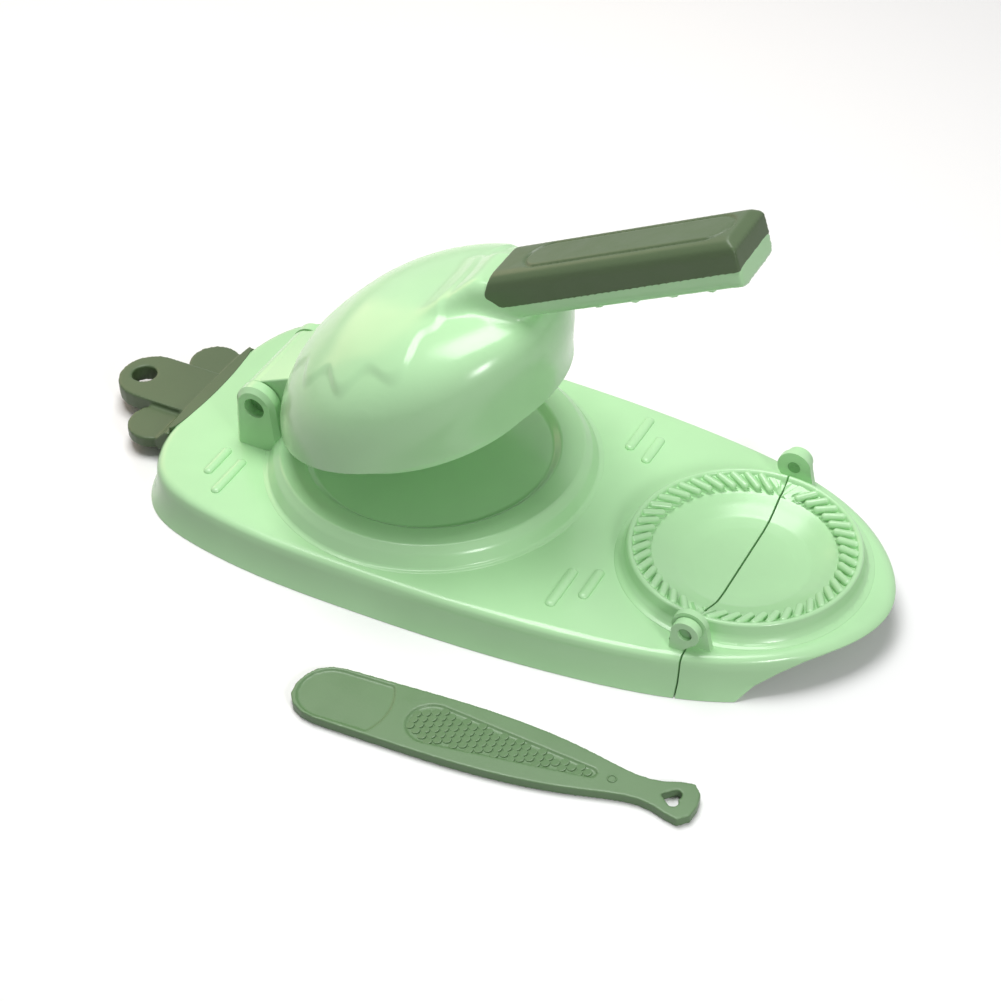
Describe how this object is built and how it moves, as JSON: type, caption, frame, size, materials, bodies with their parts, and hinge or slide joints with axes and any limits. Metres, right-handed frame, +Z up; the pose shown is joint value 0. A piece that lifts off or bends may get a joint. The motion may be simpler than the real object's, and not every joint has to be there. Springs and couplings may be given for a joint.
{
  "type": "dumpling maker",
  "caption": "Two-in-one dumpling maker: long board with a round press well under a hinged domed lid with handle, a rope-edged folding mould at the tip, a leaf tab and a filling spoon.",
  "frame": {"origin": "on the table plane under the middle of the press well, on the foot of the post that carries the well", "axes": "+X runs along the board to the mould's tip, +Y to the back of the picture, +Z up"},
  "size_m": [0.3371, 0.2051, 0.1622],
  "materials": {
    "mint_shell": "gloss moulded mint green plastic",
    "sage_trim": "satin moulded dark sage plastic",
    "sage_spoon": "satin moulded dark sage plastic with a scaled grip panel",
    "mint_pin": "smooth moulded plastic pin"
  },
  "bodies": {
    "board": {"base_board": "mint_shell", "leaf_tab": "sage_trim"},
    "flap": {"mould_flap": "mint_shell", "flap_pin_front": "mint_pin", "flap_pin_back": "mint_pin"},
    "lid": {"press_lid": "mint_shell", "press_plate": "mint_shell", "handle_cover": "sage_trim", "lid_pin_front": "mint_pin", "lid_pin_back": "mint_pin"},
    "spoon": {"filling_spoon": "sage_spoon"}
  },
  "joints": [
    {"name": "lid_hinge", "type": "hinge", "parent": "board", "child": "lid", "pos_m": [-0.0654, 0, 0.0364], "axis": [0, -1, 0], "range_deg": [-17.6, 75]},
    {"name": "flap_hinge", "type": "hinge", "parent": "board", "child": "flap", "pos_m": [0.1315, 0, 0.02485], "axis": [0, -1, 0], "range_deg": [0, 180]},
    {"name": "spoon_lift", "type": "slide", "parent": "board", "child": "spoon", "axis": [0, 0, 1], "range_m": [0, 0.1]}
  ]
}
